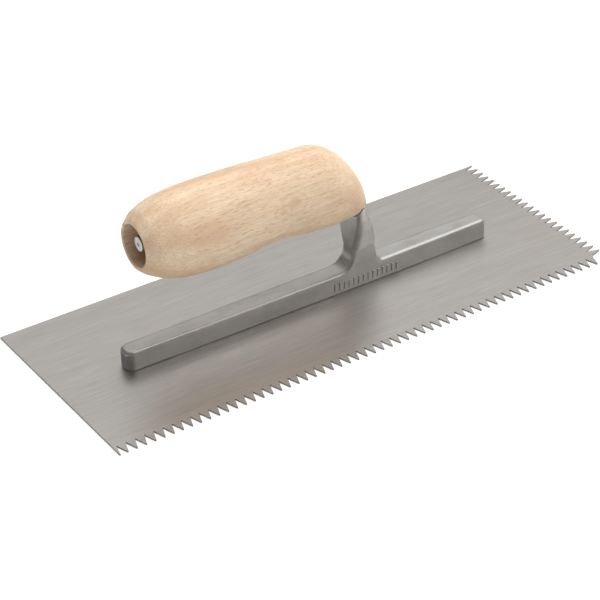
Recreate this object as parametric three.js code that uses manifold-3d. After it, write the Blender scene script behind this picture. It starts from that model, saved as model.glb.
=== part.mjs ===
// Notched plastering trowel: steel blade, cast aluminium mounting, wooden handle.
// Millimetres, +Z up. The blade lies flat on z = 0, centred on the origin.
// +X points to the notched short end, -Y to the notched long edge, the handle's open end faces -X.
import * as THREE from "three";
import Module from "manifold-3d";

const wasm = await Module();
wasm.setup();
const { Manifold, Mesh } = wasm;

// ---- driving dimensions -------------------------------------------------
const BLADE_LENGTH = 280;
const BLADE_WIDTH = 114.3;
const BLADE_THICKNESS = 0.75;
const NOTCH_PITCH = 4.7625;
const NOTCH_DEPTH = 6.35;
const TOOTH_TIP_FLAT = 0.35;
const NOTCH_ROOT_FLAT = 0.25;
const LAST_LONG_TIP_X = BLADE_LENGTH / 2 - 1.9 * NOTCH_PITCH;
const SHORT_EDGE_TEETH = 22;

const RAIL_REAR = -105.4;
const RAIL_FRONT = 102;
const RAIL_TOP = 11;
const RAIL_END_HALF_WIDTH = 5;
const RAIL_MID_HALF_WIDTH = 5.8;
const RAIL_EDGE_RADIUS = 2;
const RAIL_WIDEST_X = 27;

const NECK_REAR_X = 21.2;
const NECK_CORNER_RADIUS = 1.8;
const NECK_TOP_Z = 49;
const WEB_HALF_THICKNESS = 4;

const HANDLE_AXIS_Z = 63.8;
const HANDLE_REAR = -95.4;
const HANDLE_NOSE = 29.2;
const HANDLE_ASPECT = 0.9;
const RECESS_RADIUS = 10.3;
const RECESS_DEPTH = 18.5;
const WOOD_CLEARANCE = 0.3;

const TANG_END_X = -92.9;
const TANG_RADIUS = 3.95;
const TANG_END_CHAMFER = 0.45;
const TANG_ROOT_RADIUS = 4.6;
const TANG_TAPER_START = -20;
const TANG_TAPER_END = -6;
const TANG_FRONT = 16;

const NUT_ACROSS_FLATS = 12.7;
const NUT_HEIGHT = 6.7;
const WASHER_RADIUS = 9;
const WASHER_THICKNESS = 1.6;
const HARDWARE_GAP = 0.3;

const RIVET_COUNT = 7;
const RIVET_PITCH = 31;
const RIVET_FIRST_X = -94;
const RIVET_RADIUS = 2;
const RIVET_HEAD_RADIUS = 3.4;
const RIVET_HEIGHT = 7;
const RIVET_RECESS = 0.05;

// ---- geometry helpers ---------------------------------------------------
function geometryFrom(positions, indices) {
  const geometry = new THREE.BufferGeometry();
  geometry.setAttribute("position", new THREE.Float32BufferAttribute(positions, 3));
  geometry.setIndex(indices);
  return geometry;
}

// Closed solid through a list of rings, each ring an equal-length list of [x, y, z].
function loft(rings) {
  const count = rings[0].length;
  const positions = rings.flat(2);
  const indices = [];
  for (let r = 0; r + 1 < rings.length; r += 1) {
    for (let i = 0; i < count; i += 1) {
      const j = (i + 1) % count;
      const a = r * count + i;
      const b = r * count + j;
      indices.push(a, b, b + count, a, b + count, a + count);
    }
  }
  const last = (rings.length - 1) * count;
  for (let i = 1; i + 1 < count; i += 1) {
    indices.push(0, i + 1, i);
    indices.push(last, last + i, last + i + 1);
  }
  return geometryFrom(positions, indices);
}

function toManifold(geometry) {
  const position = geometry.getAttribute("position");
  const index = geometry.getIndex();
  const count = index ? index.count : position.count;
  const triVerts = new Uint32Array(count);
  for (let i = 0; i < count; i += 1) triVerts[i] = index ? index.getX(i) : i;
  const mesh = new Mesh({ numProp: 3, vertProperties: new Float32Array(position.array), triVerts });
  mesh.merge();
  return Manifold.ofMesh(mesh);
}

function fromManifold(solid) {
  const mesh = solid.getMesh();
  const positions = [];
  for (let i = 0; i < mesh.vertProperties.length; i += mesh.numProp) {
    positions.push(mesh.vertProperties[i], mesh.vertProperties[i + 1], mesh.vertProperties[i + 2]);
  }
  return geometryFrom(positions, Array.from(mesh.triVerts));
}

function subtract(body, tools) {
  return tools.reduce((left, tool) => left.subtract(toManifold(tool)), body);
}

function bareShape(geometry) {
  const plain = geometry.clone();
  plain.deleteAttribute("normal");
  plain.deleteAttribute("uv");
  return plain;
}

// Smooth curve through [station, value] pairs.
function curveThrough(pairs) {
  const points = pairs.map(([station, value]) => new THREE.Vector2(station, value));
  const spline = new THREE.SplineCurve(points);
  const samples = spline.getPoints(pairs.length * 24);
  return (station) => {
    let k = 1;
    while (k < samples.length - 1 && samples[k].x < station) k += 1;
    const a = samples[k - 1];
    const b = samples[k];
    const t = b.x === a.x ? 0 : (station - a.x) / (b.x - a.x);
    return a.y + Math.min(Math.max(t, 0), 1) * (b.y - a.y);
  };
}

// Turned solid about the X direction through (0, 0, axisZ); profile is [x, radius] pairs.
function turnedAlongX(profile, axisZ, segments) {
  const points = profile.map(([x, radius]) => new THREE.Vector2(radius, x));
  const geometry = bareShape(new THREE.LatheGeometry(points, segments));
  geometry.rotateZ(-Math.PI / 2);
  geometry.translate(0, 0, axisZ);
  return geometry;
}

// Turned solid standing at (x, y); profile is [radius, z] pairs from the axis back to the axis.
function turnedUpright(profile, x, y, segments) {
  const points = profile.map(([radius, z]) => new THREE.Vector2(radius, z));
  const geometry = bareShape(new THREE.LatheGeometry(points, segments));
  geometry.rotateX(Math.PI / 2);
  geometry.translate(x, y, 0);
  return geometry;
}

function box(minimum, maximum) {
  const size = maximum.map((value, i) => value - minimum[i]);
  const geometry = bareShape(new THREE.BoxGeometry(...size));
  geometry.translate(...minimum.map((value, i) => value + size[i] / 2));
  return geometry;
}

// ---- blade --------------------------------------------------------------
function bladeOutline() {
  const halfLength = BLADE_LENGTH / 2;
  const halfWidth = BLADE_WIDTH / 2;
  const tip = TOOTH_TIP_FLAT / 2;
  const root = NOTCH_ROOT_FLAT / 2;
  const flankRun = NOTCH_PITCH / 2 - tip - root;
  const slope = flankRun / NOTCH_DEPTH;
  const points = [];

  // long edge, from the plain corner towards +X
  const longTeeth = Math.floor((LAST_LONG_TIP_X + halfLength) / NOTCH_PITCH);
  points.push([-halfLength, -halfWidth]);
  for (let k = longTeeth; k >= 0; k -= 1) {
    const tipX = LAST_LONG_TIP_X - k * NOTCH_PITCH;
    const rootX = tipX - NOTCH_PITCH / 2;
    if (k === longTeeth) {
      // the first, partly cut tooth falls straight from the corner to its root
      points.push([-halfLength + TOOTH_TIP_FLAT, -halfWidth]);
    }
    points.push([rootX - root, -halfWidth + NOTCH_DEPTH], [rootX + root, -halfWidth + NOTCH_DEPTH]);
    points.push([tipX - tip, -halfWidth], [tipX + tip, -halfWidth]);
  }

  // corner where the last long tooth and the last short tooth share a root
  const lastTipY = halfWidth - SHORT_EDGE_TEETH * NOTCH_PITCH;
  const startX = LAST_LONG_TIP_X + tip;
  const endY = lastTipY - tip;
  const cornerX = (startX + slope * (endY - slope * halfLength + halfWidth)) / (1 - slope * slope);
  points.push([cornerX, -halfWidth + (cornerX - startX) / slope]);

  // short edge, from the notched corner towards +Y
  for (let j = SHORT_EDGE_TEETH; j > 0; j -= 1) {
    const tipY = halfWidth - j * NOTCH_PITCH;
    const rootY = tipY + NOTCH_PITCH / 2;
    points.push([halfLength, tipY - tip], [halfLength, tipY + tip]);
    points.push([halfLength - NOTCH_DEPTH, rootY - root], [halfLength - NOTCH_DEPTH, rootY + root]);
  }
  points.push([halfLength, halfWidth - tip], [halfLength, halfWidth], [-halfLength, halfWidth]);
  return points;
}

function rivetPositions() {
  return Array.from({ length: RIVET_COUNT }, (_, i) => RIVET_FIRST_X + i * RIVET_PITCH);
}

function countersink(x) {
  const gap = HARDWARE_GAP;
  return turnedUpright(
    [
      [0, -1],
      [RIVET_HEAD_RADIUS + gap, -1],
      [RIVET_HEAD_RADIUS + gap, RIVET_RECESS],
      [RIVET_RADIUS + gap, BLADE_THICKNESS],
      [RIVET_RADIUS + gap, BLADE_THICKNESS + 1],
      [0, BLADE_THICKNESS + 1],
    ],
    x,
    0,
    24,
  );
}

function makeBlade() {
  const shape = new THREE.Shape(bladeOutline().map(([x, y]) => new THREE.Vector2(x, y)));
  const sheet = new THREE.ExtrudeGeometry(shape, { depth: BLADE_THICKNESS, bevelEnabled: false });
  const holes = rivetPositions().map(countersink);
  return fromManifold(subtract(toManifold(bareShape(sheet)), holes));
}

// ---- rivets -------------------------------------------------------------
function makeRivet(x) {
  return turnedUpright(
    [
      [0, RIVET_RECESS],
      [RIVET_HEAD_RADIUS, RIVET_RECESS],
      [RIVET_RADIUS, BLADE_THICKNESS],
      [RIVET_RADIUS, RIVET_HEIGHT - 0.5],
      [RIVET_RADIUS - 0.5, RIVET_HEIGHT],
      [0, RIVET_HEIGHT],
    ],
    x,
    0,
    20,
  );
}

function rivetPocket(x) {
  return turnedUpright(
    [
      [0, 0],
      [RIVET_RADIUS + HARDWARE_GAP, 0],
      [RIVET_RADIUS + HARDWARE_GAP, RIVET_HEIGHT + HARDWARE_GAP],
      [0, RIVET_HEIGHT + HARDWARE_GAP],
    ],
    x,
    0,
    20,
  );
}

// ---- handle -------------------------------------------------------------
const handleTop = curveThrough([
  [HANDLE_REAR, 76.3],
  [-93.5, 78],
  [-90, 80.4],
  [-80, 83.4],
  [-65, 84.5],
  [-45, 84.3],
  [-25, 83.6],
  [-5, 82.5],
  [3, 82.1],
  [8, 80.5],
  [13, 77.1],
  [19, 71],
  [24, 63.2],
  [27.2, 55.6],
  [HANDLE_NOSE, 48],
]);

const handleBottom = curveThrough([
  [HANDLE_REAR, 51.6],
  [-93.5, 50],
  [-90, 47.4],
  [-80, 42.8],
  [-65, 40.6],
  [-45, 40.9],
  [-25, 42.7],
  [-5, 40.8],
  [12, 40.2],
  [24, 40.2],
  [27.2, 41.5],
  [HANDLE_NOSE, 44],
]);

// The front of the handle is blunter across its width than along its height.
const handleBluntness = curveThrough([
  [HANDLE_REAR, 1],
  [5, 1],
  [19, 1.02],
  [24, 1.06],
  [27.2, 1.15],
  [HANDLE_NOSE, 1.9],
]);

function handleStations() {
  const rear = [HANDLE_REAR, -94.6, -93.5, -92, -90, -87, -84, -80, -75, -70];
  const middle = Array.from({ length: 13 }, (_, i) => -64 + i * 6);
  const front = [13, 15, 17.5, 20, 22, 24, 25.6, 27.2, 28.4, HANDLE_NOSE];
  return [...rear, ...middle, ...front];
}

function handleRing(x, growth) {
  const top = handleTop(x) + growth;
  const bottom = handleBottom(x) - growth;
  const halfHeight = (top - bottom) / 2;
  const halfWidth = halfHeight * HANDLE_ASPECT * handleBluntness(x);
  const middle = (top + bottom) / 2;
  const count = 48;
  return Array.from({ length: count }, (_, i) => {
    const angle = (2 * Math.PI * i) / count;
    return [x, halfWidth * Math.cos(angle), middle + halfHeight * Math.sin(angle)];
  });
}

function handleBody(growth) {
  const rings = handleStations().map((x) => handleRing(x, growth));
  if (growth > 0) {
    const last = rings[rings.length - 1];
    rings.push(last.map(([x, y, z]) => [x + growth, y, z]));
  }
  return loft(rings);
}

function handleRecess() {
  const rim = 0.6;
  return turnedAlongX(
    [
      [HANDLE_REAR - 1, 0],
      [HANDLE_REAR - 1, RECESS_RADIUS + rim],
      [HANDLE_REAR, RECESS_RADIUS + rim],
      [HANDLE_REAR + rim, RECESS_RADIUS],
      [HANDLE_REAR + RECESS_DEPTH, RECESS_RADIUS],
      [HANDLE_REAR + RECESS_DEPTH, 0],
    ],
    HANDLE_AXIS_Z,
    48,
  );
}

function tang(growth) {
  const rear = TANG_END_X - growth;
  return turnedAlongX(
    [
      [rear, 0],
      [rear, TANG_RADIUS - TANG_END_CHAMFER + growth],
      [rear + TANG_END_CHAMFER, TANG_RADIUS + growth],
      [TANG_TAPER_START, TANG_RADIUS + growth],
      [TANG_TAPER_END, TANG_ROOT_RADIUS + growth],
      [TANG_FRONT, TANG_ROOT_RADIUS + growth],
      [TANG_FRONT, 0],
    ],
    HANDLE_AXIS_Z,
    32,
  );
}

// Web that climbs inside the handle's front slot and carries the tang; outline is in X and Z.
const WEB_OUTLINE = [
  [NECK_REAR_X, 36],
  [30, 36],
  [30.9, 41],
  [30, 46],
  [28.3, 51],
  [26.2, 56.5],
  [23.4, 61.5],
  [19.8, 65.6],
  [14, HANDLE_AXIS_Z + TANG_ROOT_RADIUS],
  [8, HANDLE_AXIS_Z + TANG_ROOT_RADIUS - 1.6],
  [8, HANDLE_AXIS_Z - 3],
  [14, 56.5],
  [18.6, 50],
];

function web() {
  const shape = new THREE.Shape(WEB_OUTLINE.map(([x, z]) => new THREE.Vector2(x, z)));
  const plate = new THREE.ExtrudeGeometry(shape, {
    depth: 2 * WEB_HALF_THICKNESS,
    bevelEnabled: false,
  });
  const geometry = bareShape(plate);
  geometry.rotateX(Math.PI / 2);
  geometry.translate(0, WEB_HALF_THICKNESS, 0);
  return geometry;
}

// Slot sawn into the handle's front end so that it slides over the web.
function handleSlot() {
  const half = WEB_HALF_THICKNESS + WOOD_CLEARANCE;
  return box([8 - WOOD_CLEARANCE, -half, 30], [45, half, HANDLE_AXIS_Z + TANG_ROOT_RADIUS + 0.4]);
}

function makeHandle() {
  const solid = toManifold(handleBody(0));
  return fromManifold(subtract(solid, [handleRecess(), tang(WOOD_CLEARANCE), handleSlot()]));
}

// ---- mounting casting ---------------------------------------------------
function railHalfWidth(x) {
  const reach = x < RAIL_WIDEST_X ? RAIL_WIDEST_X - RAIL_REAR : RAIL_FRONT - RAIL_WIDEST_X;
  const t = Math.abs(x - RAIL_WIDEST_X) / reach;
  return RAIL_MID_HALF_WIDTH - (RAIL_MID_HALF_WIDTH - RAIL_END_HALF_WIDTH) * t * t;
}

function railOutline() {
  const rearNose = 4.6;
  const frontNose = 3;
  const side = [];
  const steps = 24;
  for (let i = 0; i <= steps; i += 1) {
    const x = RAIL_REAR + rearNose + ((RAIL_FRONT - frontNose - RAIL_REAR - rearNose) * i) / steps;
    side.push([x, -railHalfWidth(x)]);
  }
  const corner = (centreX, centreY, radiusX, radiusY, from, to) =>
    Array.from({ length: 5 }, (_, i) => {
      const angle = from + ((to - from) * i) / 4;
      return [centreX + radiusX * Math.cos(angle), centreY + radiusY * Math.sin(angle)];
    });
  const rearFlat = 1.2;
  const frontFlat = RAIL_END_HALF_WIDTH - frontNose;
  const rearCorner = corner(
    RAIL_REAR + rearNose,
    -rearFlat,
    rearNose,
    RAIL_END_HALF_WIDTH - rearFlat,
    Math.PI,
    1.5 * Math.PI,
  );
  const frontCorner = corner(
    RAIL_FRONT - frontNose,
    -frontFlat,
    frontNose,
    frontNose,
    1.5 * Math.PI,
    2 * Math.PI,
  );
  const near = [...rearCorner.slice(0, -1), ...side, ...frontCorner.slice(1)];
  const far = near.map(([x, y]) => [x, -y]).reverse();
  return [...near, ...far];
}

// Each level of the rail is the plan outline shrunk inwards along its rounded top edge.
function makeRail() {
  const outline = railOutline();
  const levels = [[0, BLADE_THICKNESS]];
  for (let i = 0; i <= 4; i += 1) {
    const angle = (Math.PI / 2) * (i / 4);
    const inset = RAIL_EDGE_RADIUS * (1 - Math.cos(angle));
    levels.push([inset, RAIL_TOP - RAIL_EDGE_RADIUS + RAIL_EDGE_RADIUS * Math.sin(angle)]);
  }
  const middle = (RAIL_REAR + RAIL_FRONT) / 2;
  const halfLength = (RAIL_FRONT - RAIL_REAR) / 2;
  const rings = levels.map(([inset, z]) =>
    outline.map(([x, y]) => {
      const alongScale = (halfLength - inset) / halfLength;
      const acrossScale = (RAIL_END_HALF_WIDTH - inset) / RAIL_END_HALF_WIDTH;
      return [middle + (x - middle) * alongScale, y * acrossScale, z];
    }),
  );
  return loft(rings);
}

const neckFront = curveThrough([
  [8, 42],
  [10.6, 40],
  [11.4, 38],
  [13, 36],
  [15.5, 35],
  [22, 33.6],
  [30, 31.6],
  [35, 29.8],
  [41, 27.4],
  [NECK_TOP_Z, 24.6],
]);

const neckRear = curveThrough([
  [8, 10],
  [10.6, 11.5],
  [11.6, 14.6],
  [13.4, 17.6],
  [16.5, 20],
  [20, 21.1],
  [26, NECK_REAR_X],
  [NECK_TOP_Z, NECK_REAR_X],
]);

const neckHalfWidth = curveThrough([
  [8, 4],
  [10.6, 4.2],
  [12, 5.4],
  [15, 5.75],
  [18.5, 5.8],
  [21.6, 5.85],
  [23, 6.7],
  [28, 8],
  [32, 9.2],
  [36, 10.2],
  [41, 11],
  [NECK_TOP_Z, 11.5],
]);

function neckRing(z) {
  const rear = neckRear(z);
  const front = neckFront(z);
  const halfWidth = neckHalfWidth(z);
  const radius = Math.min(NECK_CORNER_RADIUS, (front - rear) / 2 - 0.2);
  const corners = [
    [front - radius, -halfWidth + radius, -Math.PI / 2],
    [front - radius, halfWidth - radius, 0],
    [rear + radius, halfWidth - radius, Math.PI / 2],
    [rear + radius, -halfWidth + radius, Math.PI],
  ];
  const steps = 4;
  return corners.flatMap(([x, y, from]) =>
    Array.from({ length: steps + 1 }, (_, i) => {
      const angle = from + ((Math.PI / 2) * i) / steps;
      return [x + radius * Math.cos(angle), y + radius * Math.sin(angle), z];
    }),
  );
}

function makeNeck() {
  const root = [8, 10.6, 11, 11.6, 12.4, 13.4, 14.8, 16.5, 18.5];
  const flare = [21.6, 22.3, 23, 25, 28, 31, 33, 36, 38.5, 41, 45, NECK_TOP_Z];
  return loft([...root, ...flare].map(neckRing));
}

function makeMounting() {
  const saddle = toManifold(makeNeck()).subtract(toManifold(handleBody(WOOD_CLEARANCE)));
  const arm = toManifold(web()).add(toManifold(tang(0)));
  const solid = toManifold(makeRail()).add(saddle).add(arm);
  return fromManifold(subtract(solid, rivetPositions().map(rivetPocket)));
}

// ---- washer and nut -----------------------------------------------------
const WASHER_REAR = HANDLE_REAR + RECESS_DEPTH - HARDWARE_GAP - WASHER_THICKNESS;
const NUT_REAR = WASHER_REAR - HARDWARE_GAP - NUT_HEIGHT;

function ringAlongX(rear, front, inner, outer, chamfer, segments) {
  return turnedAlongX(
    [
      [rear, inner],
      [rear, outer - chamfer],
      [rear + chamfer, outer],
      [front - chamfer, outer],
      [front, outer - chamfer],
      [front, inner],
      [rear, inner],
    ],
    HANDLE_AXIS_Z,
    segments,
  );
}

function makeWasher() {
  const bore = TANG_RADIUS + HARDWARE_GAP;
  const front = WASHER_REAR + WASHER_THICKNESS;
  return ringAlongX(WASHER_REAR, front, bore, WASHER_RADIUS, 0.25, 32);
}

function makeNut() {
  const corner = NUT_ACROSS_FLATS / Math.sqrt(3);
  const shape = new THREE.Shape(
    Array.from({ length: 6 }, (_, i) => {
      const angle = (Math.PI / 3) * i;
      return new THREE.Vector2(corner * Math.cos(angle), corner * Math.sin(angle));
    }),
  );
  const prism = new THREE.ExtrudeGeometry(shape, { depth: NUT_HEIGHT, bevelEnabled: false });
  const hexagon = bareShape(prism);
  hexagon.rotateY(Math.PI / 2);
  hexagon.translate(NUT_REAR, 0, HANDLE_AXIS_Z);
  const bore = TANG_RADIUS + HARDWARE_GAP;
  const crowned = ringAlongX(NUT_REAR, NUT_REAR + NUT_HEIGHT, bore, corner + 0.05, 0.7, 32);
  return fromManifold(toManifold(hexagon).intersect(toManifold(crowned)));
}

// ---- assembly -----------------------------------------------------------
function part(name, geometry, colour, metalness, roughness) {
  const material = new THREE.MeshStandardMaterial({ color: colour, metalness, roughness });
  const mesh = new THREE.Mesh(geometry, material);
  mesh.name = name;
  return mesh;
}

const trowel = new THREE.Group();
trowel.name = "notched_trowel";
trowel.add(part("blade", makeBlade(), 0xa9a49c, 1, 0.35));
trowel.add(part("mounting_casting", makeMounting(), 0x8f8f8c, 1, 0.5));
trowel.add(part("handle", makeHandle(), 0xdcbd97, 0, 0.6));
trowel.add(part("handle_washer", makeWasher(), 0xb9b9b6, 1, 0.35));
trowel.add(part("handle_nut", makeNut(), 0xb4b4b0, 1, 0.35));
rivetPositions().forEach((x, i) => {
  trowel.add(part(`blade_rivet_${i + 1}`, makeRivet(x), 0x9d9d99, 1, 0.4));
});

export default trowel;
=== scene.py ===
"""Looks for the notched trowel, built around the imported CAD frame.

The casting and the handle are remodelled as smooth surfaces, the blade and the fasteners are taken
from the frame and finished, and every surface has a procedural material. Shapes are worked out in
millimetres in the frame's axes and become metres when their mesh is made. Lights, camera, floor and
textures are in metres.
"""

import math

import bmesh
import bpy
import numpy as np
from mathutils import Matrix, Vector


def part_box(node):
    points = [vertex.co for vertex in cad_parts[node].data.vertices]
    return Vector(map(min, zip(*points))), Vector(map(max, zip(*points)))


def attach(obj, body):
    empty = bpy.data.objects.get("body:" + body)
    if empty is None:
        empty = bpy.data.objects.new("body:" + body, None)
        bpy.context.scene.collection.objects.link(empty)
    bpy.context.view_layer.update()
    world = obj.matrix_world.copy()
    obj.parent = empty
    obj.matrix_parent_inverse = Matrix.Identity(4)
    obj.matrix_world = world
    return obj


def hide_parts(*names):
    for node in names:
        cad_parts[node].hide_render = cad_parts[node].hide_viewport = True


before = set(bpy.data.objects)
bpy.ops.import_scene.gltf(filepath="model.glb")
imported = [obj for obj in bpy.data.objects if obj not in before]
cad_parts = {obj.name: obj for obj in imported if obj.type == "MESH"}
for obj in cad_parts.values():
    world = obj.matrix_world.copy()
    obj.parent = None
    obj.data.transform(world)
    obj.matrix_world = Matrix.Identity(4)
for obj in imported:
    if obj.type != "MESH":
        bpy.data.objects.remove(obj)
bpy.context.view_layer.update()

MM = 0.001


def node_box_mm(node):
    """Lowest and highest corner of a CAD node, in millimetres."""
    low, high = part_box(node)
    return np.array(low) / MM, np.array(high) / MM


BLADE_LOW, BLADE_HIGH = node_box_mm("blade")
CASTING_LOW, CASTING_HIGH = node_box_mm("mounting_casting")
HANDLE_LOW, HANDLE_HIGH = node_box_mm("handle")
NUT_LOW, NUT_HIGH = node_box_mm("handle_nut")

BLADE_TOP = BLADE_HIGH[2]
TANG_AXIS_Z = (NUT_LOW[2] + NUT_HIGH[2]) / 2
HANDLE_REAR = HANDLE_LOW[0]
HANDLE_NOSE = HANDLE_HIGH[0]


# ---- curves and distances ----------------------------------------------
def curve_through(pairs, steps=24):
    """A smooth function through (station, value) pairs, by Catmull-Rom segments."""
    points = np.array(pairs, float)
    padded = np.vstack([points[0], points, points[-1]])
    t = np.linspace(0, 1, steps, endpoint=False)[:, None]
    samples = []
    for before, start, end, after in zip(padded, padded[1:], padded[2:], padded[3:]):
        leave = (end - before) / 2
        arrive = (after - start) / 2
        cubic = (2 * start - 2 * end + leave + arrive) * t**3
        square = (-3 * start + 3 * end - 2 * leave - arrive) * t**2
        samples.append(cubic + square + leave * t + start)
    samples.append(points[-1:])
    samples = np.vstack(samples)
    return lambda station: np.interp(station, samples[:, 0], samples[:, 1])


def rounded_corner(a, b, radius):
    """Distance to the overlap of two solids, its edge rounded to a radius."""
    qa = a + radius
    qb = b + radius
    outside = np.hypot(np.maximum(qa, 0), np.maximum(qb, 0))
    return np.minimum(np.maximum(qa, qb), 0) + outside - radius


def filleted_union(a, b, radius):
    """Distance to two solids joined with a fillet of a radius."""
    return -rounded_corner(-a, -b, radius)


def polygon_distance(x, z, outline):
    """Signed distance in the XZ plane to a closed polygon."""
    best = np.full(x.shape, np.inf)
    inside = np.zeros(x.shape, bool)
    for (x0, z0), (x1, z1) in zip(outline, outline[1:] + outline[:1]):
        dx, dz = x1 - x0, z1 - z0
        along = np.clip(((x - x0) * dx + (z - z0) * dz) / (dx * dx + dz * dz), 0, 1)
        best = np.minimum(best, np.hypot(x - x0 - dx * along, z - z0 - dz * along))
        if dz:
            crossing = x0 + (z - z0) * dx / dz
            inside ^= ((z0 > z) != (z1 > z)) & (x < crossing)
    return np.where(inside, -best, best)


# ---- handle shape -------------------------------------------------------
HANDLE_ASPECT = 0.9
SANDING_ALLOWANCE = 0.03

handle_top = curve_through([
    (HANDLE_REAR, 76.3), (-93.5, 78), (-90, 80.4), (-80, 83.4), (-65, 84.5), (-45, 84.3),
    (-25, 83.6), (-5, 82.5), (3, 82.1), (8, 80.5), (13, 77.1), (19, 71), (24, 63.2), (27.2, 55.6),
    (HANDLE_NOSE, 48),
])
handle_bottom = curve_through([
    (HANDLE_REAR, 51.6), (-93.5, 50), (-90, 47.4), (-80, 42.8), (-65, 40.6), (-45, 40.9), (-25, 42.7),
    (-5, 40.8), (12, 40.2), (24, 40.2), (27.2, 41.5), (HANDLE_NOSE, 44),
])
handle_bluntness = curve_through([
    (HANDLE_REAR, 1), (5, 1), (19, 1.02), (24, 1.06), (27.2, 1.15), (HANDLE_NOSE, 1.9),
])


def handle_section(x):
    """Centre height, half width and half height of the handle's elliptical section at x."""
    top = handle_top(x)
    bottom = handle_bottom(x)
    half_height = (top - bottom) / 2 - SANDING_ALLOWANCE
    return (top + bottom) / 2, half_height * HANDLE_ASPECT * handle_bluntness(x), half_height


def handle_distance(x, y, z):
    """Approximate distance outside the handle's surface."""
    centre, half_width, half_height = handle_section(x)
    ratio = np.hypot(y / half_width, (z - centre) / half_height)
    near = (ratio - 1) * np.minimum(half_width, half_height)
    return np.maximum(near, x - HANDLE_NOSE)


# ---- casting shape ------------------------------------------------------
RAIL_REAR = CASTING_LOW[0]
RAIL_FRONT = CASTING_HIGH[0]
RAIL_TOP = 11.0
RAIL_MID_HALF_WIDTH = 5.8
RAIL_TAPER = 0.8
RAIL_WIDEST_X = 27.0
RAIL_REAR_NOSE = 4.4
RAIL_FRONT_NOSE = 2.6
CAST_EDGE_RADIUS = 2.0
NECK_EDGE_RADIUS = 3.4
FOOT_EDGE_RADIUS = 0.35
NECK_REAR_X = 21.2
NECK_MIDDLE_X = 27.5
NECK_TOP = 49.0
REAR_FILLET = 8.5
FRONT_FILLET = 3.2
WEB_HALF_THICKNESS = 4.0
WEB_REAR_X = 10.0
WEB_REAR_HALF_HEIGHT = 4.4
WEB_EDGE_RADIUS = 0.8
SEAT_GAP = 0.3
SEAT_EDGE_RADIUS = 0.3
# The neck's rear edges soften from the rail's radius to the neck's over this climb above the rail.
SOFTENING_START = 3.0
SOFTENING_CLIMB = 9.0

neck_front = curve_through([
    (0, 36.5), (12, 35.2), (18, 34.4), (25, 33), (30, 31.6), (35, 29.8), (41, 27.4), (49, 24.6),
])
neck_flare = curve_through([
    (0, 0), (20, 0), (21.3, 0), (21.7, 0.1), (23, 0.8), (25, 1.5), (28, 2.35), (32, 3.45),
    (36, 4.5), (41, 5.3), (49, 5.7),
])

WEB_OUTLINE = [
    (22.5, 34), (29.4, 33), (30.4, 37), (30.9, 41), (30, 46), (28.3, 51), (26.2, 56.5),
    (23.4, 61.5), (19.8, 65.6), (14, TANG_AXIS_Z + WEB_REAR_HALF_HEIGHT),
    (WEB_REAR_X, TANG_AXIS_Z + WEB_REAR_HALF_HEIGHT),
    (WEB_REAR_X, TANG_AXIS_Z - WEB_REAR_HALF_HEIGHT), (14, 56.5), (18.6, 50), (22.2, 42.5),
]


def casting_field(points):
    """Signed distance, in millimetres, to the rail with its neck and web."""
    x, y, z = points[..., 0], np.abs(points[..., 1]), points[..., 2]

    reach = np.where(x < RAIL_WIDEST_X, RAIL_WIDEST_X - RAIL_REAR, RAIL_FRONT - RAIL_WIDEST_X)
    taper = RAIL_TAPER * ((x - RAIL_WIDEST_X) / reach) ** 2
    side = y - (RAIL_MID_HALF_WIDTH - taper + neck_flare(z))
    ends = np.maximum(x - RAIL_FRONT, RAIL_REAR - x)
    nose = np.where(x < 0, RAIL_REAR_NOSE, RAIL_FRONT_NOSE)
    walls = rounded_corner(side, ends, nose)

    neck = np.maximum(NECK_REAR_X - x, x - neck_front(z))
    fillet = np.where(x < NECK_MIDDLE_X, REAR_FILLET, FRONT_FILLET)
    profile = filleted_union(z - RAIL_TOP, neck, fillet)
    climb = np.clip((z - RAIL_TOP - SOFTENING_START) / SOFTENING_CLIMB, 0, 1)
    softer = (NECK_EDGE_RADIUS - CAST_EDGE_RADIUS) * climb * (x < NECK_MIDDLE_X)
    body = rounded_corner(profile, walls, CAST_EDGE_RADIUS + softer)

    seat = np.maximum(z - NECK_TOP, SEAT_GAP - handle_distance(x, y, z))
    body = rounded_corner(body, seat, SEAT_EDGE_RADIUS)

    web = polygon_distance(x, z, WEB_OUTLINE)
    web = rounded_corner(web, y - WEB_HALF_THICKNESS, WEB_EDGE_RADIUS)
    body = filleted_union(body, web, WEB_EDGE_RADIUS)
    return rounded_corner(body, BLADE_TOP - z, FOOT_EDGE_RADIUS)


# ---- meshes -------------------------------------------------------------
def gradient(field, points, step=0.05):
    """Numerical gradient of a distance field."""
    columns = []
    for axis in range(3):
        offset = np.zeros(3)
        offset[axis] = step
        columns.append((field(points + offset) - field(points - offset)) / (2 * step))
    return np.stack(columns, -1)


def settle(field, points, rounds):
    """Moves points onto the zero level of a field."""
    for _ in range(rounds):
        slope = gradient(field, points)
        length = np.maximum((slope**2).sum(-1, keepdims=True), 0.25)
        points = points - field(points)[:, None] * slope / length
    return points


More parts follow.
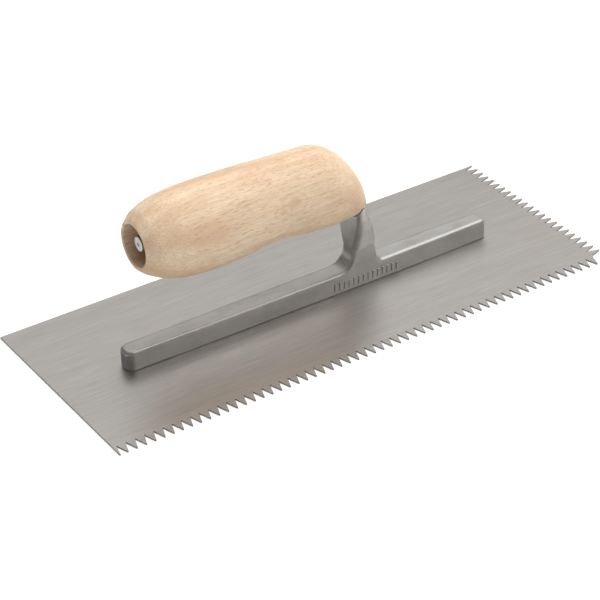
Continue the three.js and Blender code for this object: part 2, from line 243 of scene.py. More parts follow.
def surface_net(field, low, high, cell):
    """Vertices and quads of the zero level of a field inside a box, by surface nets."""
    low = np.array(low, float)
    counts = np.ceil((np.array(high) - low) / cell).astype(int) + 1
    axes = [low[i] + cell * np.arange(counts[i]) for i in range(3)]
    values = field(np.stack(np.meshgrid(*axes, indexing="ij"), -1))
    solid = values < 0

    corners = np.array([(i, j, k) for i in (0, 1) for j in (0, 1) for k in (0, 1)])
    spans = [tuple(slice(c, n - 1 + c) for c, n in zip(corner, counts)) for corner in corners]
    stacked = np.stack([solid[span] for span in spans])
    mixed = stacked.any(0) & ~stacked.all(0)
    cells = np.argwhere(mixed)
    number = np.full(mixed.shape, -1)
    number[mixed] = np.arange(len(cells))

    at_corner = np.stack([values[tuple((cells + corner).T)] for corner in corners], 1)
    total = np.zeros((len(cells), 3))
    hits = np.zeros(len(cells))
    for a in range(8):
        for b in range(a + 1, 8):
            if np.abs(corners[a] - corners[b]).sum() != 1:
                continue
            start, end = at_corner[:, a], at_corner[:, b]
            cut = (start < 0) != (end < 0)
            part = (start[cut] / (start[cut] - end[cut]))[:, None]
            total[cut] += corners[a] + part * (corners[b] - corners[a])
            hits[cut] += 1
    vertices = low + cell * (cells + total / hits[:, None])

    quads = []
    for axis in range(3):
        u, v = np.eye(3, dtype=int)[[(axis + 1) % 3, (axis + 2) % 3]]
        here = [slice(None)] * 3
        ahead = [slice(None)] * 3
        here[axis] = slice(0, -1)
        ahead[axis] = slice(1, None)
        edge = np.argwhere(solid[tuple(here)] != solid[tuple(ahead)])
        around = [edge, edge - u, edge - u - v, edge - v]
        quad = np.stack([number[tuple(c.T)] for c in around], 1)
        outward = solid[tuple(edge.T)]
        quad[~outward] = quad[~outward][:, ::-1]
        quads.append(quad)
    return vertices, np.vstack(quads)


def relax(field, vertices, quads, rounds):
    """Evens out a net's spacing while keeping it on the surface."""
    for _ in range(rounds):
        total = np.zeros_like(vertices)
        hits = np.zeros(len(vertices))
        for i in range(4):
            for j in (1, 3):
                np.add.at(total, quads[:, i], vertices[quads[:, (i + j) % 4]])
                np.add.at(hits, quads[:, i], 1)
        vertices = settle(field, 0.5 * vertices + 0.5 * total / hits[:, None], 1)
    return vertices


def add_object(name, vertices, faces, smooth=True):
    """A mesh object from millimetre vertices."""
    mesh = bpy.data.meshes.new(name)
    mesh.from_pydata((np.asarray(vertices) * MM).tolist(), [], [list(face) for face in faces])
    mesh.validate()
    mesh.polygons.foreach_set("use_smooth", [smooth] * len(mesh.polygons))
    mesh.update()
    obj = bpy.data.objects.new(name, mesh)
    bpy.context.collection.objects.link(obj)
    return obj


def ring_loft(rings):
    """Vertices and quads through equal-length rings, with the first and last ring closed."""
    count = len(rings[0])
    vertices = np.vstack(rings)
    faces = []
    for r in range(len(rings) - 1):
        for i in range(count):
            j = (i + 1) % count
            a = r * count
            faces.append((a + i, a + j, a + count + j, a + count + i))
    faces.append(tuple(reversed(range(count))))
    faces.append(tuple(range((len(rings) - 1) * count, len(rings) * count)))
    return vertices, faces


def apply_modifiers(obj):
    """Replaces an object's mesh by its evaluated mesh and clears its modifiers."""
    graph = bpy.context.evaluated_depsgraph_get()
    mesh = bpy.data.meshes.new_from_object(obj.evaluated_get(graph))
    obj.modifiers.clear()
    obj.data = mesh


def smooth_by_angle(obj, degrees):
    """Smooth shading with edges sharper than an angle kept crisp."""
    limit = math.radians(degrees)
    work = bmesh.new()
    work.from_mesh(obj.data)
    for face in work.faces:
        face.smooth = True
    for edge in work.edges:
        edge.smooth = len(edge.link_faces) == 2 and edge.calc_face_angle(0) < limit
    work.to_mesh(obj.data)
    work.free()


def bevel_edges(obj, width, degrees):
    """Rounds an object's edges that are sharper than an angle, by a width in millimetres."""
    bevel = obj.modifiers.new("edge_bevel", "BEVEL")
    bevel.width = width * MM
    bevel.segments = 2
    bevel.limit_method = "ANGLE"
    bevel.angle_limit = math.radians(degrees)
    apply_modifiers(obj)


# ---- pieces -------------------------------------------------------------
HANDLE_SIDES = 128
HANDLE_RINGS = 110
HANDLE_REAR_ROUNDING = 0.35
HANDLE_LIP_INSET = 0.05
HANDLE_CRISP_DEGREES = 40
RECESS_RADIUS = 10.3
RECESS_DEPTH = 18.5
RECESS_RIM = 0.9
RECESS_CORNER = 0.3
RECESS_MID_FLOOR_RADIUS = 7.0
TANG_HOLE_RADIUS = 4.25
TANG_HOLE_DEPTH = 12.0
SLOT_REAR_X = 9.7
SLOT_FRONT_X = 45.0
SLOT_LOW_Z = 30.0
SLOT_TOP_ABOVE_AXIS = 5.0


def ellipse_ring(x, centre_z, half_width, half_height, sides):
    """Points round an ellipse across the X axis; a half size may differ from point to point."""
    angle = 2 * np.pi * np.arange(sides) / sides
    return np.stack(
        [np.full(sides, x), half_width * np.cos(angle), centre_z + half_height * np.sin(angle)], 1
    )


def tang_ring(x, radius, sides):
    """Points round the tang's axis."""
    return ellipse_ring(x, TANG_AXIS_Z, radius, radius, sides)


def handle_ring(x):
    """Points round the outside of the handle."""
    return ellipse_ring(x, *handle_section(x), HANDLE_SIDES)


def recess_profile():
    """The recess and the tang hole as (x, radius) pairs, from the mouth inwards."""
    profile = []
    for turn in np.linspace(0, np.pi / 2, 6):
        radius = RECESS_RADIUS + RECESS_RIM * (1 - np.sin(turn))
        profile.append((HANDLE_REAR + RECESS_RIM * (1 - np.cos(turn)), radius))
    for part in (0.2, 0.45, 0.7, 0.9):
        profile.append((HANDLE_REAR + RECESS_DEPTH * part, RECESS_RADIUS))
    floor = HANDLE_REAR + RECESS_DEPTH
    profile.append((floor - RECESS_CORNER, RECESS_RADIUS))
    profile.append((floor, RECESS_RADIUS - RECESS_CORNER))
    profile.append((floor, RECESS_MID_FLOOR_RADIUS))
    profile.append((floor, TANG_HOLE_RADIUS))
    profile.append((floor + TANG_HOLE_DEPTH, TANG_HOLE_RADIUS))
    return profile


def make_slot_cutter():
    """Block that cuts the slot for the casting's web into the handle's nose."""
    half = WEB_HALF_THICKNESS + SEAT_GAP
    low = np.array([SLOT_REAR_X, -half, SLOT_LOW_Z])
    size = np.array([
        SLOT_FRONT_X - SLOT_REAR_X, 2 * half, TANG_AXIS_Z + SLOT_TOP_ABOVE_AXIS - SLOT_LOW_Z,
    ])
    corners = [low + size * (i, j, k) for i in (0, 1) for j in (0, 1) for k in (0, 1)]
    sides = [(0, 1, 3, 2), (4, 6, 7, 5), (0, 4, 5, 1), (2, 3, 7, 6), (0, 2, 6, 4), (1, 5, 7, 3)]
    return add_object("slot_cutter", corners, sides, smooth=False)


def make_handle():
    """Turned grip with its rear recess and tang hole, then a front slot cut for the web."""
    sweep = (1 - np.cos(np.linspace(0, np.pi, HANDLE_RINGS))) / 2
    outer_rear = HANDLE_REAR + HANDLE_REAR_ROUNDING
    stations = outer_rear + (HANDLE_NOSE - HANDLE_REAR - HANDLE_REAR_ROUNDING) * sweep
    outer = [handle_ring(x) for x in stations]

    mouth = tang_ring(HANDLE_REAR, RECESS_RADIUS + RECESS_RIM, HANDLE_SIDES)
    lip = 0.5 * mouth + 0.5 * outer[0]
    lip[:, 0] = HANDLE_REAR + HANDLE_LIP_INSET
    inside = [tang_ring(x, radius, HANDLE_SIDES) for x, radius in reversed(recess_profile())]
    vertices, faces = ring_loft(inside + [lip] + outer)
    handle = add_object("handle_grip", vertices, faces)

    cutter = make_slot_cutter()
    cut = handle.modifiers.new("slot", "BOOLEAN")
    cut.operation = "DIFFERENCE"
    cut.solver = "EXACT"
    cut.object = cutter
    apply_modifiers(handle)
    bpy.data.objects.remove(cutter)
    smooth_by_angle(handle, HANDLE_CRISP_DEGREES)
    return handle


CASTING_CELL = 0.55
CASTING_CRISP_DEGREES = 60
# The box searched for the casting's surface, around the rail and up past the web.
CASTING_MARGIN_X = 1.5
CASTING_REACH_Y = 13.5
CASTING_MARGIN_BELOW = 1.0
CASTING_REACH_ABOVE_AXIS = 6.5


def make_casting():
    """Rail, neck and web in one smooth skin."""
    low = (RAIL_REAR - CASTING_MARGIN_X, -CASTING_REACH_Y, BLADE_TOP - CASTING_MARGIN_BELOW)
    high = (RAIL_FRONT + CASTING_MARGIN_X, CASTING_REACH_Y, TANG_AXIS_Z + CASTING_REACH_ABOVE_AXIS)
    cell = CASTING_CELL
    vertices, quads = surface_net(casting_field, low, high, cell)
    vertices = settle(casting_field, vertices, 3)
    vertices = relax(casting_field, vertices, quads, 3)
    casting = add_object("casting_rail_and_neck", vertices, quads)
    smooth_by_angle(casting, CASTING_CRISP_DEGREES)
    return casting


THREAD_PITCH = 1.41
THREAD_DEPTH = 0.5
THREAD_STEPS_PER_TURN = 8
THREAD_HIDDEN_LENGTH = 4.0
THREAD_CLOSING_STEP = 0.2
# The flanks run past crest and root, and clipping leaves a small flat on both.
THREAD_FLANK_SLOPE = 1.35
THREAD_CREST_FLAT = 0.2
TANG_RADIUS = 3.95
TANG_END_X = -92.9
TANG_CHAMFER = 0.45
TANG_SIDES = 48
TANG_CRISP_DEGREES = 50
# Radius and depth of the rings across the tang's end face, from the centre hole outwards.
TANG_FACE = [(0.25, 0.55), (0.8, 0.35), (1.0, 0.06), (2.2, 0.0), (3.2, 0.02)]
TANG_FACE_EDGE = 0.12


def thread_radius(x, angle):
    """Radius of the threaded tang at a station and an angle round it."""
    phase = (x / THREAD_PITCH + angle / (2 * np.pi)) % 1
    depth = THREAD_FLANK_SLOPE * np.abs(2 * phase - 1) - THREAD_CREST_FLAT
    groove = THREAD_DEPTH * np.clip(depth, 0, 1)
    chamfer = max(0.0, TANG_CHAMFER - (x - TANG_END_X))
    return TANG_RADIUS - np.maximum(groove, chamfer)


def make_tang():
    """Threaded tang end that shows in the recess, with its centre hole."""
    thread_end = HANDLE_REAR + RECESS_DEPTH + THREAD_HIDDEN_LENGTH
    angle = 2 * np.pi * np.arange(TANG_SIDES) / TANG_SIDES
    rings = [tang_ring(TANG_END_X + depth, radius, TANG_SIDES) for radius, depth in TANG_FACE]
    for i in range(int((thread_end - TANG_END_X) / THREAD_PITCH * THREAD_STEPS_PER_TURN)):
        x = TANG_END_X + TANG_FACE_EDGE + i * THREAD_PITCH / THREAD_STEPS_PER_TURN
        rings.append(tang_ring(x, thread_radius(x, angle), TANG_SIDES))
    rings.append(tang_ring(thread_end + THREAD_CLOSING_STEP, TANG_RADIUS, TANG_SIDES))
    vertices, faces = ring_loft(rings)
    tang = add_object("casting_tang_end", vertices, faces)
    smooth_by_angle(tang, TANG_CRISP_DEGREES)
    return tang


# Bevels of the pieces taken from the CAD, in millimetres.
BLADE_BEVEL = 0.07
RIVET_BEVEL = 0.08
WASHER_BEVEL = 0.15
NUT_BEVEL = 0.2
# In metres, as the CAD meshes are.
WELD_DISTANCE = 1e-6
FLAT_WITHIN_DEGREES = 0.5
CRISP_ABOVE_DEGREES = 35


def frame_copy(node, name, bevel, flat_faces=False):
    """A finished copy of a CAD node: welded, its flat faces merged, its edges bevelled."""
    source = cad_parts[node]
    mesh = source.data.copy()
    mesh.materials.clear()
    work = bmesh.new()
    work.from_mesh(mesh)
    bmesh.ops.remove_doubles(work, verts=work.verts, dist=WELD_DISTANCE)
    flat = math.radians(FLAT_WITHIN_DEGREES)
    bmesh.ops.dissolve_limit(work, angle_limit=flat, verts=work.verts, edges=work.edges)
    work.to_mesh(mesh)
    work.free()
    obj = bpy.data.objects.new(name, mesh)
    obj.matrix_world = source.matrix_world.copy()
    bpy.context.collection.objects.link(obj)
    bevel_edges(obj, bevel, CRISP_ABOVE_DEGREES)
    if flat_faces:
        obj.data.polygons.foreach_set("use_smooth", [False] * len(obj.data.polygons))
    else:
        smooth_by_angle(obj, CRISP_ABOVE_DEGREES)
    return obj


PAD_COUNT = 14
PAD_PITCH = 2.8
PAD_FIRST_X = 10.0
PAD_LOW_Z = 2.8
PAD_HIGH_Z = 7.0
PAD_WIDTH = 1.4
PAD_DEPTH = 1.2
PAD_PROUD = 0.35
PAD_BEVEL = 0.22


def make_side_pads():
    """A plain row of raised pads on the rail's near side."""
    size = (PAD_WIDTH, PAD_DEPTH, PAD_HIGH_Z - PAD_LOW_Z)
    scale = Matrix.Diagonal((*[value * MM for value in size], 1))
    centre_y = -RAIL_MID_HALF_WIDTH - PAD_PROUD + PAD_DEPTH / 2
    centre_z = (PAD_HIGH_Z + PAD_LOW_Z) / 2
    work = bmesh.new()
    for i in range(PAD_COUNT):
        centre = Vector((PAD_FIRST_X + i * PAD_PITCH, centre_y, centre_z))
        bmesh.ops.create_cube(work, size=1, matrix=Matrix.Translation(centre * MM) @ scale)
    edges = list(work.edges)
    bmesh.ops.bevel(
        work, geom=edges, offset=PAD_BEVEL * MM, segments=2, profile=0.5, affect="EDGES"
    )
    mesh = bpy.data.meshes.new("casting_side_pads")
    work.to_mesh(mesh)
    work.free()
    mesh.polygons.foreach_set("use_smooth", [True] * len(mesh.polygons))
    pads = bpy.data.objects.new("casting_side_pads", mesh)
    bpy.context.collection.objects.link(pads)
    return pads


# ---- materials ----------------------------------------------------------
def shade(colour, factor=1.0):
    """An RGBA colour: the given RGB, lightened or darkened by a factor."""
    return tuple(factor * c for c in colour) + (1,)


class Nodes:
    """Small helper that adds and links shader nodes."""

    def __init__(self, tree):
        self.tree = tree

    def add(self, kind, **settings):
        node = self.tree.nodes.new(kind)
        for key, value in settings.items():
            setattr(node, key, value)
        return node

    def link(self, source, target):
        self.tree.links.new(source, target)

    def put(self, socket, value):
        if hasattr(value, "is_linked"):
            self.link(value, socket)
        else:
            socket.default_value = value

    def coordinates(self, stretch=(1, 1, 1)):
        """Position in the frame in metres, multiplied per axis: a small factor draws detail out."""
        place = self.add("ShaderNodeTexCoord").outputs["Object"]
        mapping = self.add("ShaderNodeMapping")
        mapping.inputs["Scale"].default_value = stretch
        self.link(place, mapping.inputs["Vector"])
        return mapping.outputs["Vector"]

    def noise(self, vector, scale, detail=3.0, roughness=0.5, distortion=0.0):
        node = self.add("ShaderNodeTexNoise")
        self.link(vector, node.inputs["Vector"])
        node.inputs["Scale"].default_value = scale
        node.inputs["Detail"].default_value = detail
        node.inputs["Roughness"].default_value = roughness
        node.inputs["Distortion"].default_value = distortion
        return node.outputs["Fac"]

    def map(self, value, low, high, to_low=0.0, to_high=1.0):
        """Smooth ramp from one range of values to another."""
        node = self.add("ShaderNodeMapRange", interpolation_type="SMOOTHSTEP")
        self.put(node.inputs["Value"], value)
        node.inputs["From Min"].default_value = low
        node.inputs["From Max"].default_value = high
        node.inputs["To Min"].default_value = to_low
        node.inputs["To Max"].default_value = to_high
        return node.outputs["Result"]

    def math(self, operation, a, b=0.0):
        node = self.add("ShaderNodeMath", operation=operation)
        self.put(node.inputs[0], a)
        self.put(node.inputs[1], b)
        return node.outputs["Value"]

    def blend(self, amount, a, b):
        node = self.add("ShaderNodeMix", data_type="RGBA", blend_type="MIX")
        self.put(node.inputs["Factor"], amount)
        self.put(node.inputs["A"], a)
        self.put(node.inputs["B"], b)
        return node.outputs["Result"]

    def bump(self, height, strength, distance, normal=None):
        node = self.add("ShaderNodeBump")
        node.inputs["Strength"].default_value = strength
        node.inputs["Distance"].default_value = distance
        self.link(height, node.inputs["Height"])
        if normal is not None:
            self.link(normal, node.inputs["Normal"])
        return node.outputs["Normal"]


def new_material(name):
    """A material with its node helper and its Principled shader."""
    material = bpy.data.materials.new(name)
    material.use_nodes = True
    nodes = Nodes(material.node_tree)
    shader = material.node_tree.nodes["Principled BSDF"]
    return material, nodes, shader


STEEL = (0.6, 0.583, 0.56)
STEEL_TARNISH = (0.97 * STEEL[0], 0.9 * STEEL[1], 0.83 * STEEL[2])
STEEL_ROUGHNESS = 0.38
# Colours of the punched edge, darkened far below the steel's as painted shade along the sheet's
# edges.
SHEARED_PAINTED_SHADE_DARK = (0.14, 0.132, 0.125)
SHEARED_PAINTED_SHADE_LIGHT = (0.3, 0.29, 0.28)


def brushed_steel():
    """Sheet steel ground along X: fine grinding lines, soft smears and a little tarnish."""
    material, nodes, shader = new_material("brushed_steel")
    grind = nodes.noise(nodes.coordinates((24, 3000, 3000)), 1.0, 2.0, 0.6)
    lines = nodes.noise(nodes.coordinates((45, 1300, 1300)), 1.0, 2.0, 0.65)
    bands = nodes.noise(nodes.coordinates((4, 170, 170)), 1.0, 3.0, 0.55)
    smears = nodes.noise(nodes.coordinates((11, 17, 17)), 1.0, 3.0, 0.5)
    tone = nodes.math("ADD", nodes.math("MULTIPLY", lines, 0.75), nodes.math("MULTIPLY", bands, 0.25))
    colour = nodes.blend(nodes.map(tone, 0.34, 0.66), shade(STEEL, 0.9), shade(STEEL, 1.06))
    colour = nodes.blend(nodes.map(smears, 0.5, 0.8, 0.0, 0.4), colour, shade(STEEL_TARNISH))
    nodes.link(colour, shader.inputs["Base Color"])
    shader.inputs["Metallic"].default_value = 1.0
    rough = nodes.map(smears, 0.3, 0.7, STEEL_ROUGHNESS - 0.03, STEEL_ROUGHNESS + 0.04)
    nodes.link(rough, shader.inputs["Roughness"])
    coarse = nodes.bump(bands, 0.04, 0.0003)
    nodes.link(nodes.bump(grind, 0.45, 0.0001, coarse), shader.inputs["Normal"])
    return material


def sheared_edge():
    """Dull punched edge of the sheet, with drag marks across its thickness; its colour is darkened
    far below the steel's as painted shade.
    """
    material, nodes, shader = new_material("sheared_edge")
    drag = nodes.noise(nodes.coordinates((2200, 2200, 300)), 1.0, 3.0, 0.6)
    colour = nodes.blend(nodes.map(drag, 0.3, 0.7), shade(SHEARED_PAINTED_SHADE_DARK), shade(SHEARED_PAINTED_SHADE_LIGHT))
    nodes.link(colour, shader.inputs["Base Color"])
    shader.inputs["Metallic"].default_value = 1.0
    nodes.link(nodes.map(drag, 0.3, 0.7, 0.4, 0.6), shader.inputs["Roughness"])
    nodes.link(nodes.bump(drag, 0.3, 0.00005), shader.inputs["Normal"])
    return material


ALUMINIUM = (0.56, 0.552, 0.536)


def cast_aluminium():
    """As-cast aluminium, blasted and handled: satin, faintly grained and smudged."""
    material, nodes, shader = new_material("cast_aluminium")
    grain = nodes.noise(nodes.coordinates(), 1700, 3.0, 0.65)
    ripple = nodes.noise(nodes.coordinates((50, 120, 120)), 1.0, 3.0, 0.5)
    smudge = nodes.noise(nodes.coordinates((45, 90, 90)), 1.0, 4.0, 0.6)
    colour = nodes.blend(nodes.map(smudge, 0.3, 0.7), shade(ALUMINIUM, 0.86), shade(ALUMINIUM, 1.1))
    pits = nodes.map(grain, 0.6, 0.74, 0.0, 0.5)
    colour = nodes.blend(pits, colour, shade(ALUMINIUM, 0.45))
    nodes.link(colour, shader.inputs["Base Color"])
    shader.inputs["Metallic"].default_value = 0.9
    shader.inputs["Specular IOR Level"].default_value = 0.5
    nodes.link(nodes.map(smudge, 0.25, 0.75, 0.38, 0.48), shader.inputs["Roughness"])
    soft = nodes.bump(ripple, 0.2, 0.0004)
    nodes.link(nodes.bump(grain, 0.6, 0.00012, soft), shader.inputs["Normal"])
    return material


GRIP_WOOD = {"pale": (0.93, 0.765, 0.55), "tan": (0.73, 0.48, 0.31), "pore": (0.4, 0.22, 0.12)}
BORED_WOOD = {"pale": (0.93, 0.72, 0.5), "tan": (0.68, 0.45, 0.28), "pore": (0.3, 0.16, 0.08)}
# Centre, in millimetres, and radius of each small knot.
KNOTS = [((-19.5, -18.5, 68.2), 2.7), ((-26, -18.5, 66), 1.8), ((-62, 12, 80), 2.0)]
# A knot's ring, in knot radii from its centre.
KNOT_RING_DISTANCE = 2.1


def knot_mask(nodes, place, radius):
    """How strongly a small knot, its ring included, darkens the wood around a point in mm."""
    offset = nodes.add("ShaderNodeVectorMath", operation="SUBTRACT")
    nodes.link(nodes.coordinates(), offset.inputs[0])
    offset.inputs[1].default_value = [value * MM for value in place]
    squeeze = nodes.add("ShaderNodeVectorMath", operation="MULTIPLY")
    nodes.link(offset.outputs["Vector"], squeeze.inputs[0])
    squeeze.inputs[1].default_value = [share / (radius * MM) for share in (0.7, 0.25, 1)]
    length = nodes.add("ShaderNodeVectorMath", operation="LENGTH")
    nodes.link(squeeze.outputs["Vector"], length.inputs[0])
    rough = nodes.noise(nodes.coordinates(), 500, 3.0, 0.6)
    distance = nodes.math("ADD", length.outputs["Value"], nodes.math("MULTIPLY", rough, 0.7))
    heart = nodes.map(distance, 0.5, 1.7, 0.8, 0.0)
    from_ring = nodes.math("ABSOLUTE", nodes.math("SUBTRACT", distance, KNOT_RING_DISTANCE))
    ring = nodes.map(from_ring, 0.0, 0.35, 0.35, 0.0)
    return nodes.math("MAXIMUM", heart, ring)


def pale_wood(name, colours):
    """Pale, close-grained hardwood: fine pores and fibres along X, with brownish patches."""
    material, nodes, shader = new_material(name)
    pale = shade(colours["pale"])
    tan = shade(colours["tan"])
    patches = nodes.noise(nodes.coordinates((22, 55, 55)), 1.0, 3.0, 0.55)
    bands = nodes.noise(nodes.coordinates((7, 130, 130)), 1.0, 4.0, 0.6, 0.5)
    fibre = nodes.noise(nodes.coordinates((75, 2000, 2000)), 1.0, 3.0, 0.65)
    pores = nodes.noise(nodes.coordinates((260, 3100, 3100)), 1.0, 1.0, 0.5)
    colour = nodes.blend(nodes.map(bands, 0.36, 0.7, 0.0, 0.7), pale, tan)
    colour = nodes.blend(nodes.map(patches, 0.46, 0.68, 0.0, 0.65), colour, tan)
    colour = nodes.blend(nodes.map(fibre, 0.4, 0.68, 0.0, 0.6), colour, tan)
    pore = nodes.map(pores, 0.57, 0.68, 0.0, 0.45)
    colour = nodes.blend(pore, colour, shade(colours["pore"]))
    for place, radius in KNOTS:
        colour = nodes.blend(knot_mask(nodes, place, radius), colour, tan)
    nodes.link(colour, shader.inputs["Base Color"])
    nodes.link(nodes.map(fibre, 0.3, 0.7, 0.45, 0.62), shader.inputs["Roughness"])
    shader.inputs["Specular IOR Level"].default_value = 0.5
    depth = nodes.math("SUBTRACT", fibre, nodes.math("MULTIPLY", pore, 1.5))
    nodes.link(nodes.bump(depth, 0.3, 0.00012), shader.inputs["Normal"])
    return material


# Colour and least roughness of the small metal pieces.
ZINC = ((0.56, 0.56, 0.55), 0.32)
TANG_FACE_METAL = ((0.6, 0.59, 0.57), 0.4)
# The thread's colour is darkened as painted shade on the tang's threaded side.
THREAD_PAINTED_SHADE_METAL = ((0.25, 0.24, 0.22), 0.5)
RIVET_METAL = ((0.66, 0.66, 0.65), 0.36)


def machined_metal(name, base, roughness):
    """Plated, turned or rolled metal: slightly cloudy, with fine tool marks."""
    material, nodes, shader = new_material(name)
    cloudy = nodes.noise(nodes.coordinates(), 260, 3.0, 0.6)
    fine = nodes.noise(nodes.coordinates((900, 2500, 2500)), 1.0, 2.0, 0.5)
    colour = nodes.blend(nodes.map(cloudy, 0.3, 0.7), shade(base, 0.8), shade(base))
    nodes.link(colour, shader.inputs["Base Color"])
    shader.inputs["Metallic"].default_value = 1.0
    nodes.link(nodes.map(cloudy, 0.3, 0.7, roughness, roughness + 0.12), shader.inputs["Roughness"])
    nodes.link(nodes.bump(fine, 0.2, 0.00005), shader.inputs["Normal"])
    return material


def floor_paint():
    """Plain matt white stage with the faintest tooth, lit a little from within."""
    material, nodes, shader = new_material("stage_white")
    tooth = nodes.noise(nodes.coordinates(), 900, 2.0, 0.5)
    colour = nodes.blend(tooth, shade((0.92, 0.92, 0.92)), shade((0.95, 0.95, 0.95)))
    nodes.link(colour, shader.inputs["Base Color"])
    shader.inputs["Roughness"].default_value = 0.9
    shader.inputs["Specular IOR Level"].default_value = 0.1
    shader.inputs["Emission Color"].default_value = shade((1, 1, 1))
    shader.inputs["Emission Strength"].default_value = FLOOR_GLOW
    return material


# ---- stage, lights and camera -------------------------------------------
FLOOR_SIZE = 6.0
FLOOR_DROP = 0.0001
FLOOR_GLOW = 0.15


def make_floor():
    """Plain square floor just below the blade."""
    half = FLOOR_SIZE / 2 / MM
    drop = -FLOOR_DROP / MM
    corners = [(-half, -half, drop), (half, -half, drop), (half, half, drop), (-half, half, drop)]
    floor = add_object("stage_floor", corners, [(0, 1, 2, 3)], smooth=False)
    floor.data.materials.append(floor_paint())


# Each ramp runs between two values of a direction's component and has a lowest and a highest level.
UPWARD_RAMP = (0.36, 0.9, 0.33, 1.42)
BACKWARD_RAMP = (-0.75, 0.4, 0.4, 1.0)
RIGHTWARD_RAMP = (-0.35, 0.35, 0.28, 1.0)
WORLD_COLOUR = (1.0, 0.99, 0.975)
# Bright patches of the surround: direction, cosine at the edge, cosine at the core, brightness.
SOFT_PANELS = [((0.45, 0.0, 0.89), 0.86, 0.97, 0.8), ((0.42, -0.45, 0.79), 0.93, 0.985, 1.1)]


def soft_panel(nodes, direction, place, edge, core, strength):
    """Brightness of a round soft-edged patch of the surround, seen in a direction."""
    towards = nodes.add("ShaderNodeVectorMath", operation="DOT_PRODUCT")
    nodes.link(direction, towards.inputs[0])
    towards.inputs[1].default_value = Vector(place).normalized()
    return nodes.map(towards.outputs["Value"], edge, core, 0.0, strength)


def make_world():
    """Studio surround that metal reflects: brighter upwards, behind the tool and to its right."""
    world = bpy.data.worlds.new("studio")
    world.use_nodes = True
    bpy.context.scene.world = world
    nodes = Nodes(world.node_tree)
    background = world.node_tree.nodes["Background"]
    direction = nodes.add("ShaderNodeTexCoord").outputs["Generated"]
    split = nodes.add("ShaderNodeSeparateXYZ")
    nodes.link(direction, split.inputs["Vector"])
    upward = nodes.map(split.outputs["Z"], *UPWARD_RAMP)
    backward = nodes.map(split.outputs["Y"], *BACKWARD_RAMP)
    rightward = nodes.map(split.outputs["X"], *RIGHTWARD_RAMP)
    level = nodes.math("MULTIPLY", nodes.math("MULTIPLY", upward, backward), rightward)
    for place, edge, core, strength in SOFT_PANELS:
        level = nodes.math("ADD", level, soft_panel(nodes, direction, place, edge, core, strength))
    background.inputs["Color"].default_value = shade(WORLD_COLOUR)
    nodes.link(level, background.inputs["Strength"])


LIGHT_PLACE = Vector((0.22, -0.12, 1.35))
LIGHT_AIM = Vector((0, 0, 0.03))
LIGHT_SIZE = (1.3, 1.0)
LIGHT_WATTS = 11.5


def make_light():
    """Overhead softbox, kept out of reflections so that the surround alone shapes the metal."""
    data = bpy.data.lights.new("overhead", "AREA")
    data.shape = "RECTANGLE"
    data.size, data.size_y = LIGHT_SIZE
    data.energy = LIGHT_WATTS
    light = bpy.data.objects.new("overhead", data)
    light.location = LIGHT_PLACE
    light.rotation_euler = (LIGHT_PLACE - LIGHT_AIM).to_track_quat("Z", "Y").to_euler()
    light.visible_glossy = False
    bpy.context.collection.objects.link(light)


# Angles in degrees, distances in metres, lens and sensor in millimetres.
CAMERA_AZIMUTH = -32.584
CAMERA_ELEVATION = 32.82
CAMERA_ROLL = -1.748
CAMERA_DISTANCE = 1.1225
CAMERA_AIM = Vector((-0.00587, 0.00186, 0.0))
CAMERA_LENS = 139.06
CAMERA_SENSOR = 36
CAMERA_FAR_CLIP = 20


def make_camera():
    """Camera at the tool's left front, a little above it."""
    azimuth = math.radians(CAMERA_AZIMUTH)
    elevation = math.radians(CAMERA_ELEVATION)
    back = Vector((
        math.cos(elevation) * math.sin(azimuth),
        -math.cos(elevation) * math.cos(azimuth),
        math.sin(elevation),
    ))
    data = bpy.data.cameras.new("camera")
    data.lens = CAMERA_LENS
    data.sensor_width = CAMERA_SENSOR
    data.clip_end = CAMERA_FAR_CLIP
    camera = bpy.data.objects.new("camera", data)
    level = back.to_track_quat("Z", "Y").to_matrix()
    roll = Matrix.Rotation(math.radians(CAMERA_ROLL), 3, "Z")
    camera.matrix_world = Matrix.LocRotScale(
        CAMERA_AIM + back * CAMERA_DISTANCE, (level @ roll).to_quaternion(), None
    )
    bpy.context.collection.objects.link(camera)
    bpy.context.scene.camera = camera


# ---- assembly -----------------------------------------------------------
def dress(obj, material, slot_name, *nodes):
    """Gives a piece its material and ties it to the frame."""
    obj.data.materials.clear()
    obj.data.materials.append(material)
    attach(obj, "root")
    if nodes:
        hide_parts(*nodes)


def paint_faces(obj, material, chosen):
    """Gives the faces that pass a test a second material."""
    obj.data.materials.append(material)
    for face in obj.data.polygons:
        if chosen(face):
            face.material_index = len(obj.data.materials) - 1


# Faces that get a second material are told by how far their normal leans along an axis.
SHEARED_BELOW = 0.5
THREADED_BELOW = 0.8
# The bored wood, in millimetres: from past the recess's rim to past the end of the tang hole.
BORED_FROM = 0.6
BORED_MARGIN_X = 3.0
BORED_MARGIN_RADIUS = 0.2


def is_sheared(face):
    """Whether a blade face stands on the sheet's edge."""
    return abs(face.normal.z) < SHEARED_BELOW


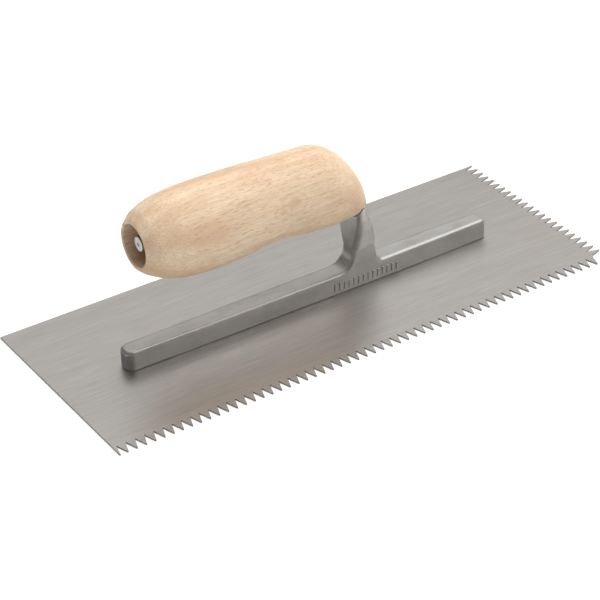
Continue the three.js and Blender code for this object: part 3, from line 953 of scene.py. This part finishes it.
def is_threaded(face):
    """Whether a tang face lies on its side and not on its end."""
    return abs(face.normal.x) < THREADED_BELOW


def is_bored(face):
    """Whether a handle face lies in the rear recess, past its rounded rim, or in the tang hole."""
    x, y, z = face.center / MM
    from_axis = math.hypot(y, z - TANG_AXIS_Z)
    rim = HANDLE_REAR + BORED_FROM
    innermost = HANDLE_REAR + RECESS_DEPTH + TANG_HOLE_DEPTH + BORED_MARGIN_X
    return rim < x < innermost and from_axis < RECESS_RADIUS + BORED_MARGIN_RADIUS


def make_rivets(metal):
    """The blade's rivets, from their CAD nodes."""
    for node in sorted(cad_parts):
        if node.startswith("blade_rivet_"):
            rivet = frame_copy(node, node.replace("blade_", ""), RIVET_BEVEL)
            dress(rivet, metal, "rivet_aluminium", node)


make_world()
make_floor()
make_camera()
make_light()

steel = brushed_steel()
aluminium = cast_aluminium()
hardware = machined_metal("zinc_steel", *ZINC)
tang_metal = machined_metal("tang_metal", *TANG_FACE_METAL)
thread_metal = machined_metal("thread_metal", *THREAD_PAINTED_SHADE_METAL)
grip_wood = pale_wood("grip_wood", GRIP_WOOD)
bored_wood = pale_wood("bored_wood", BORED_WOOD)
rivet_metal = machined_metal("rivet_metal", *RIVET_METAL)

blade = frame_copy("blade", "blade_sheet", BLADE_BEVEL, flat_faces=True)
dress(blade, steel, "blade_steel", "blade")
# The sheet's edge faces get the punched-edge material with its painted shade.
paint_faces(blade, sheared_edge(), is_sheared)

dress(make_casting(), aluminium, "cast_aluminium", "mounting_casting")
dress(make_side_pads(), aluminium, "cast_aluminium")
tang = make_tang()
dress(tang, tang_metal, "cast_aluminium")
# The threaded side gets the dark metal, its darkness painted shade.
paint_faces(tang, thread_metal, is_threaded)

handle = make_handle()
dress(handle, grip_wood, "beech", "handle")
paint_faces(handle, bored_wood, is_bored)

washer = frame_copy("handle_washer", "washer", WASHER_BEVEL)
dress(washer, hardware, "zinc_steel", "handle_washer")
nut = frame_copy("handle_nut", "nut", NUT_BEVEL)
dress(nut, hardware, "zinc_steel", "handle_nut")
make_rivets(rivet_metal)

bpy.context.scene.view_settings.view_transform = "Standard"
